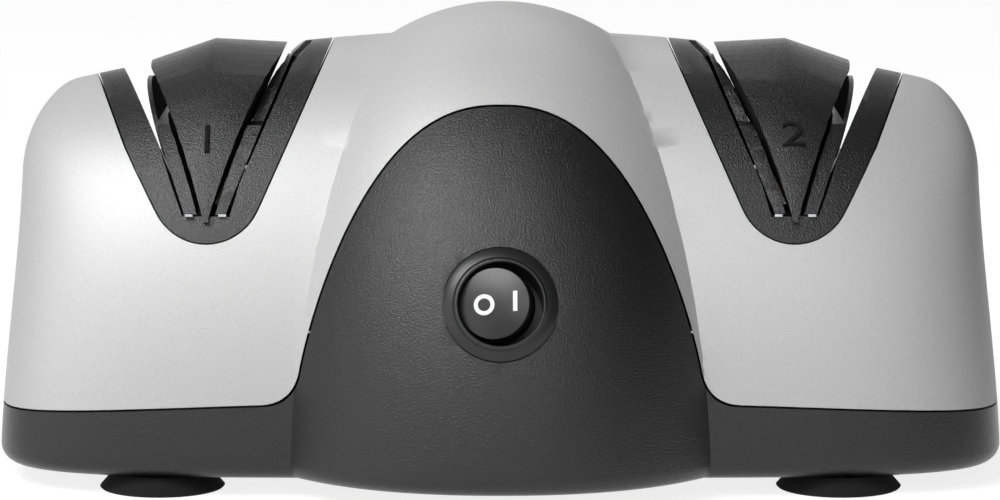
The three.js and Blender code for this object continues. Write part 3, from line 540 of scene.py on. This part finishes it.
# Grained black ABS: the mould is etched with a fine grain, about a third of a millimetre across,
# which breaks every highlight into bright specks.
grain_size = 0.33 * mm
grained_abs, tree, shader, place = new_finish("grained_black_abs", 0.28, ior=1.54)
grain = add_node(tree, "ShaderNodeTexNoise", {"Scale": 1 / grain_size, "Detail": 2, "Roughness": 0.6},
                 {"Vector": place})
tinted(tree, shader, grain.outputs["Fac"], "#121212", "#1c1c1c")
embossed(tree, shader, grain.outputs["Fac"], 0.15 * mm)


# Matt black ABS: rough, as the steep walls inside the slots come off an unpolished tool. Its base colour
# is darker than the grained ABS as well: that is painted shade, for slot walls, spring sides and numerals.
matt_abs_with_painted_shade, tree, shader, place = new_finish("matt_black_abs_painted_shade", 0.95, ior=1.4)
grain = add_node(tree, "ShaderNodeTexNoise", {"Scale": 1 / grain_size, "Detail": 2}, {"Vector": place})
tinted(tree, shader, grain.outputs["Fac"], "#060606", "#0c0c0c")
embossed(tree, shader, grain.outputs["Fac"], 0.05 * mm)


def middle_of(node):
    low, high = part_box(node)
    return Vector(low).lerp(Vector(high), 0.5)


def width_of(node, axis=0):
    low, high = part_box(node)
    return high[axis] - low[axis]


def rod(radius, low, high, place=(0, 0), sides=64):
    form = bmesh.new()
    seat = Matrix.Translation((place[0], place[1], (low + high) / 2))
    bmesh.ops.create_cone(
        form, cap_ends=True, segments=sides, radius1=radius, radius2=radius, depth=high - low, matrix=seat)
    return form


def brick(low, high):
    form = bmesh.new()
    low, high = Vector(low), Vector(high)
    seat = Matrix.Translation((low + high) / 2) @ Matrix.Diagonal([*(high - low), 1])
    bmesh.ops.create_cube(form, size=1, matrix=seat)
    return form


def moved(form, matrix):
    form.transform(matrix)
    return form


panel_at_switch = middle_y - hump_front_reach * math.sqrt(1 - (switch_height / hump_top) ** 2)
switch_seat = (
    Matrix.Translation((0, panel_at_switch, switch_height))
    @ Matrix.Rotation(math.pi / 2 - switch_lean, 4, "X") @ Matrix.Translation((0, 0, -switch_seat_depth)))

base = carved(shell, ("INTERSECT", carved(front_of_base(0), ("UNION", rear_of_base(0)))))
stack_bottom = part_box("stator_stack")[0][2]
joins = []
cuts = [
    moved(rod(switch_seat_radius, 0, overrun, sides=96), switch_seat),
    moved(rod(barrel_radius + screw_clearance, -barrel_length, overrun), switch_seat),
    moved(rod(cord_hole_radius, 0, 2 * overrun, sides=48),
          Matrix.Translation((cord_hole_x, middle_y + wing_half_depth + overrun, cord_hole_height))
          @ Matrix.Rotation(math.pi / 2, 4, "X"))]
for number in range(1, 5):
    screw = f"cover_screw_{number}"
    place = middle_of(screw).xy
    joins.append(rod(post_radius, foot_height + wall / 2, seam_height + seam_gap - screw_clearance, place))
    cuts.append(rod(width_of(screw) / 2 + screw_clearance, 0, screw_well_depth + foot_height, place))
    cuts.append(rod(width_of(screw) / 4 + screw_clearance, 0, seam_height + overrun, place))
for end in (-1, 1):
    saddle_y = middle_y + end * saddle_reach
    joins.append(brick((-saddle_half_width, saddle_y - saddle_half_depth, foot_height + wall / 2),
                       (saddle_half_width, saddle_y + saddle_half_depth, stack_bottom - screw_clearance)))
feet = [f"{end}_{side}_suction_foot" for end in ("front", "rear") for side in ("left", "right")]
for foot in feet:
    cuts.append(rod(foot_stem_radius + screw_clearance, 0, floor_top + overrun, middle_of(foot).xy))
vent_middle = width_of("stator_stack", 1) / 2 + vent_gap + vent_length / 2
for i in range(vent_count):
    x = (i - (vent_count - 1) / 2) * vent_pitch
    for end in (-1, 1):
        y = middle_y + end * vent_middle
        cuts.append(brick((x - vent_width / 2, y - vent_length / 2, 0),
                          (x + vent_width / 2, y + vent_length / 2, floor_top + overrun)))
base = carved(base, *[("UNION", join) for join in joins], *[("DIFFERENCE", cut) for cut in cuts])
finished("black_base", rounded(base, base_edge), grained_abs, "housing", ["base_housing"])


# Suction feet: soft black rubber cups, moulded in one with the stem and plug that hold them in
# the base. The rubber is matt with a dusty bloom.
foot_rubber, tree, shader, place = new_finish("foot_rubber", 0.9, ior=1.45)
bloom = add_node(tree, "ShaderNodeTexNoise", {"Scale": 1 / (0.5 * mm), "Detail": 3}, {"Vector": place})
tinted(tree, shader, bloom.outputs["Fac"], "#040404", "#090909")
embossed(tree, shader, bloom.outputs["Fac"], 0.03 * mm, 0.5)


def spun(profile):
    form = bmesh.new()
    verts = [form.verts.new((radius, 0, height)) for radius, height in profile]
    edges = [form.edges.new(pair) for pair in zip(verts, verts[1:])]
    bmesh.ops.spin(
        form, geom=verts + edges, cent=(0, 0, 0), axis=(0, 0, 1), angle=math.tau, steps=96,
        use_merge=True)
    bmesh.ops.remove_doubles(form, verts=form.verts, dist=0.001 * mm)
    bmesh.ops.recalc_face_normals(form, faces=form.faces)
    return in_order(form)


cup_radius = 13 * mm
cup_shoulder = 10.2 * mm
cup_edge = 0.35 * mm
cup_lip = 1.2 * mm
cup_roof = 1.4 * mm
plug_radius = 5.4 * mm
plug_height = 2.6 * mm
clearance = 0.3 * mm

for foot in feet:
    place = middle_of(foot)
    cup = spun([
        (0, cup_roof), (0.7 * cup_radius, 0.6 * cup_roof), (cup_radius - cup_lip, 0),
        (cup_radius - cup_edge, 0), (cup_radius, cup_edge),
        (cup_shoulder, foot_height - clearance), (foot_stem_radius, foot_height - clearance),
        (foot_stem_radius, floor_top + clearance), (plug_radius, floor_top + clearance),
        (foot_stem_radius, floor_top + plug_height), (0, floor_top + plug_height)])
    moved(cup, Matrix.Translation((place.x, place.y, 0)))
    finished(foot.replace("suction_foot", "foot_cup"), cup, foot_rubber, "housing", [foot])


# Stage guides: black ABS with the same grain, one in each wing. Each is a V with a wedge standing
# in it, which leaves two knife slots, and a moulded numeral stands out of the wedge's front.
slot_floor = 57.4 * mm
slot_half_width = 4.9 * mm
wedge_foot_half = 0.6 * mm
wedge_flank = math.radians(24.5)
wedge_lead = math.radians(13.3)
wedge_full_half_depth = 8 * mm
wedge_crests = {"outer": 85.4 * mm, "middle": 90.4 * mm, "inner": 89.6 * mm}
wedge_corner_reach = 14.6 * mm
wedge_root = 1 * mm
outer_wall_leans = math.radians(22), math.radians(21)
outer_wall_flare = 0.15
inner_wall_leans = math.radians(16.9), math.radians(24.1), math.radians(46)
inner_slot_knee = 64 * mm
inner_arm_knee = 86.5 * mm
wheel_room = 1.2 * mm
rib_foot = slot_floor + 1.2 * mm
rib_reach = 1.3 * mm
rib_root = 1 * mm
rib_depth = 3 * mm
rib_gap = 0.6 * mm
guide_edge = 0.2 * mm
numeral_height = {-1: 6.4 * mm, 1: 5.7 * mm}
numeral_width_share = {-1: 1.1, 1: 1.35}
numeral_middle = {-1: 72.6 * mm, 1: 73.6 * mm}
numeral_rise = 0.5 * mm


def outer_slot_wall(y):
    foot_lean, top_lean = outer_wall_leans
    knee_x = (slot_half_width + (flare_full_height - slot_floor) * math.tan(foot_lean)
              + outer_wall_flare * max(0, y - flare_origin))
    return [(knee_x, flare_full_height),
            (knee_x + (sky - flare_full_height) * math.tan(top_lean), sky)]


def inner_slot_wall():
    foot_lean, middle_lean, top_lean = inner_wall_leans
    foot_x = slot_half_width + (inner_slot_knee - slot_floor) * math.tan(foot_lean)
    knee_x = foot_x + (inner_arm_knee - inner_slot_knee) * math.tan(middle_lean)
    return [(foot_x, inner_slot_knee), (knee_x, inner_arm_knee),
            (knee_x + (sky - inner_arm_knee) * math.tan(top_lean), sky)]


def slot_cut(side, outward):
    def outline(y):
        wall_line = outer_slot_wall(y) if outward > 0 else inner_slot_wall()
        points = [(-wedge_foot_half, slot_floor), (slot_half_width, slot_floor), *wall_line,
                  (-wedge_foot_half, sky)]
        return [(side * (stage_x + outward * x), y, z) for x, z in points]

    return lofted(*[outline(y) for y in section_row(flare_origin)])


def rear_rib(side):
    wall_line = [(slot_half_width, rib_foot), *inner_slot_wall()]
    near = [(x - rib_reach, z) for x, z in wall_line]
    far = [(x + rib_root, z) for x, z in reversed(wall_line)]
    block = pushed_along_y([(side * (stage_x - x), z) for x, z in near + far], middle_y, wing_rear)
    within = wing_form(rib_depth, guide_bottom, 0, 96, 24)
    return carved(block, ("INTERSECT", outer), ("DIFFERENCE", within))


def wedge_side(side, place):
    outward = 1 if place == "outer" else -1
    steps = 64

    def section(reach):
        crest = wedge_crests["middle"] + reach * (wedge_crests[place] - wedge_crests["middle"])
        x = side * (stage_x + outward * reach * wedge_corner_reach)
        points = []
        for i in range(steps + 1):
            turn = math.pi * i / steps
            rise = math.sin(turn)
            half = wing_half_depth * math.sqrt(max(0, 1 - rise ** wing_power))
            y = middle_y - math.copysign(half, math.cos(turn))
            points.append((x, y, max(slot_floor - overrun, rise * crest)))
        return points

    return lofted(section(0), section(2))


def wedge_slope(y):
    tapering = wing_rear - middle_y - wedge_full_half_depth
    lead = max(0, abs(y - middle_y) - wedge_full_half_depth) / tapering
    return math.tan(wedge_flank) * (1 - lead) + math.tan(wedge_lead) * lead


def wedge_form(side):
    def outline(y):
        top_x = wedge_foot_half + (sky - slot_floor) * wedge_slope(y)
        points = [(-wedge_foot_half, slot_floor - wedge_root), (wedge_foot_half, slot_floor - wedge_root),
                  (wedge_foot_half, slot_floor), (top_x, sky), (-top_x, sky),
                  (-wedge_foot_half, slot_floor)]
        return [(side * stage_x + x, y, z) for x, z in points]

    full = (middle_y - wedge_full_half_depth, middle_y + wedge_full_half_depth)
    core = lofted(*[outline(y) for y in section_row(*full)])
    skin = carved(wedge_side(side, "outer"), ("UNION", wedge_side(side, "inner")))
    return carved(core, ("INTERSECT", skin))


def numeral_form(digit, side):
    text = bpy.data.curves.new("numeral", "FONT")
    text.body = digit
    text.offset = -0.022
    text.extrude = 0.12
    text.bevel_depth = 0.02
    words = bpy.data.objects.new("numeral", text)
    bpy.context.scene.collection.objects.link(words)
    form = bmesh.new()
    form.from_mesh(words.evaluated_get(bpy.context.evaluated_depsgraph_get()).to_mesh())
    bpy.data.objects.remove(words)
    bmesh.ops.remove_doubles(form, verts=form.verts, dist=0.0001)
    bmesh.ops.recalc_face_normals(form, faces=form.faces)
    lows, highs = [[pick(v.co[axis] for v in form.verts) for axis in range(3)] for pick in (min, max)]
    centre = Vector(((lows[0] + highs[0]) / 2, (lows[1] + highs[1]) / 2, highs[2]))
    rise = numeral_middle[side] / wedge_crests["middle"]
    scale = numeral_height[side] / (highs[1] - lows[1])
    depth = math.sqrt(1 - rise ** wing_power)
    slope = wing_power / 2 * wing_half_depth * rise ** (wing_power - 1) / (wedge_crests["middle"] * depth)
    seat = (Matrix.Translation((side * stage_x, middle_y - wing_half_depth * depth, numeral_middle[side]))
            @ Matrix.Rotation(math.pi / 2 - math.atan(slope), 4, "X")
            @ Matrix.Translation((0, 0, numeral_rise))
            @ Matrix.Diagonal((scale * numeral_width_share[side], scale, scale, 1))
            @ Matrix.Translation(-centre))
    return moved(form, seat)


# Faces steeper than this, the walls inside the slots and the sides of the spring plates, take the darker matt
# ABS: painted shade where the slots lie in shade.
steep_wall = 0.75


def steep_walls_painted_shade(piece):
    piece.data.materials.append(matt_abs_with_painted_shade)
    for face in piece.data.polygons:
        face.material_index = 1 if abs(face.normal.x) > steep_wall else 0


def along_shaft(form, x):
    return moved(form, Matrix.Translation((x, middle_y, shaft_height)) @ Matrix.Rotation(math.pi / 2, 4, "Y"))


shaft_height = middle_of("drive_shaft").z
wheel_radius = width_of("stage_1_outer_wheel", 2) / 2
for side, stage in ((-1, "stage_1"), (1, "stage_2")):
    channel = carved(guide_zone(side, 0), ("INTERSECT", outer))
    wheels = width_of(f"{stage}_outer_wheel") + width_of(f"{stage}_inner_wheel")
    well_half = wheels / 2 + 2 * wheel_room
    well = along_shaft(rod(wheel_radius + wheel_room, -well_half, well_half, sides=96), side * stage_x)
    guide = carved(channel, ("DIFFERENCE", slot_cut(side, 1)), ("DIFFERENCE", slot_cut(side, -1)),
                   ("UNION", wedge_form(side)), ("UNION", rear_rib(side)), ("DIFFERENCE", well))
    guide = rounded(guide, guide_edge, sharp_edges)
    # The slot walls take the darker matt ABS: painted shade.
    steep_walls_painted_shade(
        finished(f"{stage}_slot_guide", guide, grained_abs, "housing", [f"{stage}_guide"]))
    # The numeral takes the darker matt ABS too: painted shade, so that it stands out against the wedge.
    finished(f"{stage}_numeral", numeral_form(stage[-1], side), matt_abs_with_painted_shade, "housing")


# Blade springs: one black plate on the outside of each slot, which bridges the wheels and presses
# the knife against the wedge. An outer plate has a leaf behind it, and steel strips hold the feet.
spring_shoulder_top = 75 * mm
spring_drop = 2.4 * mm
spring_inset = 1 * mm
spring_arch_half = 21 * mm
spring_rear_half = 32 * mm
spring_arch_base = 68 * mm
knife_gap = 1.1 * mm
spring_thickness = {1: (2.3 * mm, 1.1 * mm, 1 * mm), -1: (1.85 * mm, 1.2 * mm, 0.72 * mm)}
spring_edge = 0.15 * mm
outer_leaf = ((60 * mm, 4.6 * mm, 5.8 * mm), (68 * mm, 8.85 * mm, 9.85 * mm), (sky, 20.1 * mm, 21 * mm))


# Smooth black ABS: polished in the mould, so that it is satin with a hint of flow.
smooth_abs, tree, shader, place = new_finish("smooth_black_abs", 0.34)
flow = add_node(tree, "ShaderNodeTexNoise", {"Scale": 1 / (2.5 * mm), "Detail": 4}, {"Vector": place})
tinted(tree, shader, flow.outputs["Fac"], "#19191a", "#202021")
embossed(tree, shader, flow.outputs["Fac"], 0.02 * mm, 0.4)


def flank_line(y, z):
    return wedge_foot_half + (z - slot_floor) * wedge_slope(y) + knife_gap / math.cos(wedge_flank)


def full_flank(z):
    return flank_line(middle_y, z)


def plate_form(side, outward):
    foot = slot_floor + clearance
    heights = (foot, spring_shoulder_top, hump_top)
    outer_line = [(full_flank(z) + thick / math.cos(wedge_flank), z)
                  for z, thick in zip(heights, spring_thickness[outward])]

    def outline(y):
        points = [(flank_line(y, foot), foot), *outer_line, (flank_line(y, hump_top), hump_top)]
        return [(side * (stage_x + outward * x), y, z) for x, z in points]

    return lofted(*[outline(y) for y in section_row()])


def leaf_form(side):
    outline = [(near, z) for z, near, far in outer_leaf] + [(far, z) for z, near, far in reversed(outer_leaf)]
    return pushed_along_y([(side * (stage_x + x), z) for x, z in outline], wing_front, wing_rear)


def spring_form(side, outward):
    tip_x = stage_x + outward * full_flank(wing_crest - spring_drop - spring_inset)
    tip = wing_crest_at(tip_x) - spring_drop
    rear_half = spring_arch_half if outward > 0 else spring_rear_half
    arch = [(middle_y - spring_arch_half, slot_floor)]
    steps = 48
    for i in range(steps + 1):
        turn = math.pi * i / steps
        half = spring_arch_half if i < steps / 2 else rear_half
        arch.append((middle_y - half * math.cos(turn),
                     spring_arch_base + (tip - spring_arch_base) * math.sin(turn)))
    arch.append((middle_y + rear_half, slot_floor))
    bridge = lofted([(-half_width, y, z) for y, z in arch], [(half_width, y, z) for y, z in arch])
    below_top = brick((-half_width, wing_front, 0), (half_width, wing_rear, spring_shoulder_top))
    shoulders = carved(wing_form(spring_inset, guide_bottom, 0), ("INTERSECT", below_top))
    well = along_shaft(rod(wheel_radius + wheel_room, -half_width, half_width, sides=96), 0)
    if outward < 0:
        front_half = brick((-half_width, wing_front, 0), (half_width, middle_y, sky))
        before_rib = carved(wing_form(rib_depth + rib_gap, guide_bottom, 0, 96, 24), ("UNION", front_half))
        return carved(plate_form(side, outward), ("INTERSECT", carved(shoulders, ("UNION", bridge))),
                      ("INTERSECT", before_rib), ("DIFFERENCE", well))
    leaf = carved(leaf_form(side), ("INTERSECT", bridge), ("DIFFERENCE", well))
    return carved(plate_form(side, outward), ("INTERSECT", shoulders), ("DIFFERENCE", well), ("UNION", leaf))


# Zinc-plated steel: bright and a little brushed, with fine lines along the stock.
plated_steel, tree, shader, place = new_finish("zinc_plated_steel", 0.3, 1.0)
brushed = add_node(tree, "ShaderNodeMapping", {"Scale": (0.1, 1, 1)}, {"Vector": place})
lines = add_node(tree, "ShaderNodeTexNoise", {"Scale": 1 / (0.3 * mm), "Detail": 3},
                 {"Vector": brushed.outputs[0]})
tinted(tree, shader, lines.outputs["Fac"], "#b4b7bb", "#d3d5d8")
embossed(tree, shader, lines.outputs["Fac"], 0.01 * mm, 0.4)

strip_front = 39.2 * mm
strip_length = 6 * mm
strip_sides = 2.6 * mm, 4.3 * mm
strip_lift = 0.02 * mm
strip_top = 0.6 * mm
for side, stage, left_or_right in ((-1, "stage_1", "left"), (1, "stage_2", "right")):
    for outward, place_name in ((1, "outer"), (-1, "inner")):
        spring = rounded(spring_form(side, outward), spring_edge, sharp_edges)
        # Their steep sides take the darker matt ABS: painted shade, as on the slot walls.
        steep_walls_painted_shade(finished(
            f"{stage}_{place_name}_spring_plate", spring, grained_abs, f"{left_or_right}_{place_name}_spring",
            [f"{stage}_{place_name}_blade_spring"]))
        for end, end_name in ((-1, "front"), (1, "rear")):
            x_low, x_high = sorted(side * (stage_x + outward * x) for x in strip_sides)
            y_low, y_high = sorted(middle_y + end * y for y in (strip_front, strip_front - strip_length))
            strip = brick((x_low, y_low, slot_floor + strip_lift), (x_high, y_high, slot_floor + strip_top))
            finished(f"{stage}_{place_name}_{end_name}_strip", rounded(strip, spring_edge, sharp_edges),
                     plated_steel, "housing")


# Switch: a round housing of smooth black ABS that snaps into the panel, and a disc that rocks in
# it, with a ring for off and a bar for on printed in white.
bezel_radius = 11.65 * mm
bezel_thickness = 2.3 * mm
barrel_floor = 2.2 * mm
opening_radius = 8.6 * mm
rocker_radius = 7.3 * mm
rocker_tilt = math.radians(14)
pivot_depth = 4.8 * mm
rocker_rise = 5.2 * mm
rocker_belly = 5.4 * mm

bezel = spun([
    (0, -barrel_length), (barrel_radius, -barrel_length), (barrel_radius, clearance),
    (bezel_radius, clearance), (bezel_radius, 1.1 * mm), (bezel_radius - 0.2 * mm, 1.3 * mm),
    (9.7 * mm, 1.85 * mm), (9.6 * mm, 1.8 * mm), (9.5 * mm, 1.9 * mm), (9.3 * mm, 2.2 * mm),
    (9.1 * mm, bezel_thickness), (8.85 * mm, bezel_thickness), (opening_radius, 2.1 * mm),
    (opening_radius, barrel_floor - barrel_length), (0, barrel_floor - barrel_length)])
finished("switch_bezel", moved(bezel, switch_seat), smooth_abs, "housing", ["switch_housing"])

tilted = (switch_seat @ Matrix.Translation((0, 0, bezel_thickness - pivot_depth))
          @ Matrix.Rotation(-rocker_tilt, 4, "Y"))
disc = spun([
    (0, -rocker_belly), (0.55 * rocker_radius, -0.82 * rocker_belly),
    (0.9 * rocker_radius, -0.42 * rocker_belly), (rocker_radius, 0),
    (rocker_radius, rocker_rise - 0.2 * mm), (rocker_radius - 0.06 * mm, rocker_rise - 0.06 * mm),
    (rocker_radius - 0.2 * mm, rocker_rise), (0, rocker_rise)])
finished("switch_disc", moved(disc, tilted), smooth_abs, "rocker", ["switch_rocker"])

# Pad-printed white ink: thin and matt, a little uneven where it was pressed on.
white_ink, tree, shader, place = new_finish("pad_printed_white_ink", 0.5)
press = add_node(tree, "ShaderNodeTexNoise", {"Scale": 1 / (0.6 * mm), "Detail": 2}, {"Vector": place})
tinted(tree, shader, press.outputs["Fac"], "#e4e4e4", "#f6f6f6")
ink_top = rocker_rise + 0.04 * mm
ring_radius = 2.15 * mm
ring_hole_radius = 1.3 * mm
ring_place = -2.1 * mm, -0.2 * mm
bar_sides = 3.9 * mm, 4.8 * mm
bar_ends = -1.7 * mm, 2.4 * mm
ring_hole = rod(ring_hole_radius, 0, rocker_rise + overrun, ring_place)
ring = carved(rod(ring_radius, rocker_rise, ink_top, ring_place), ("DIFFERENCE", ring_hole))
finished("off_ring", moved(ring, tilted), white_ink, "rocker")
bar = brick((bar_sides[0], bar_ends[0], rocker_rise), (bar_sides[1], bar_ends[1], ink_top))
finished("on_bar", moved(bar, tilted), white_ink, "rocker")


# Motor and running gear: the CAD nodes stay as they are, inside the housing, and get the finish
# of what each is made of. They show through the slots and vents only.
def banded(name, period, axis, dark, light, roughness, metallic):
    material, tree, shader, place = new_finish(name, roughness, metallic)
    wave = add_node(tree, "ShaderNodeTexWave", {"bands_direction": axis, "Scale": math.tau / 20 / period},
                    {"Vector": place})
    tinted(tree, shader, wave.outputs["Fac"], dark, light, 0.1, 0.9)
    embossed(tree, shader, wave.outputs["Fac"], 0.1 * period, 0.8)
    return material


def speckled(name, size, dark, light, roughness, metallic, depth):
    material, tree, shader, place = new_finish(name, roughness, metallic)
    grit = add_node(tree, "ShaderNodeTexVoronoi", {"Scale": 1 / size}, {"Vector": place})
    tinted(tree, shader, grit.outputs["Distance"], dark, light, 0.1, 0.8)
    embossed(tree, shader, grit.outputs["Distance"], depth, 0.8)
    return material


finishes = {
    "steel": plated_steel,
    "lamination_steel": banded("stacked_steel_sheets", 0.5 * mm, "X", "#5c5e61", "#8d8f92", 0.45, 0.9),
    "copper": banded("enamelled_copper_wire", 0.6 * mm, "Y", "#6e3a1a", "#b5683a", 0.35, 0.8),
    "bronze": speckled("sintered_bronze", 0.3 * mm, "#7d6238", "#a98a54", 0.5, 0.9, 0.03 * mm),
    "abrasive": speckled("bonded_abrasive", 0.25 * mm, "#c4b9b0", "#e6dfd8", 0.9, 0.0, 0.08 * mm),
    "nylon": speckled("moulded_nylon", 1.5 * mm, "#d6d3c8", "#e1ded4", 0.5, 0.0, 0.01 * mm),
}
for part in frame["record"]["subparts"]:
    finish = finishes.get(part["material_slot"])
    if finish:
        mesh = frame["nodes"][part["node"]].data
        mesh.materials.clear()
        mesh.materials.append(finish)
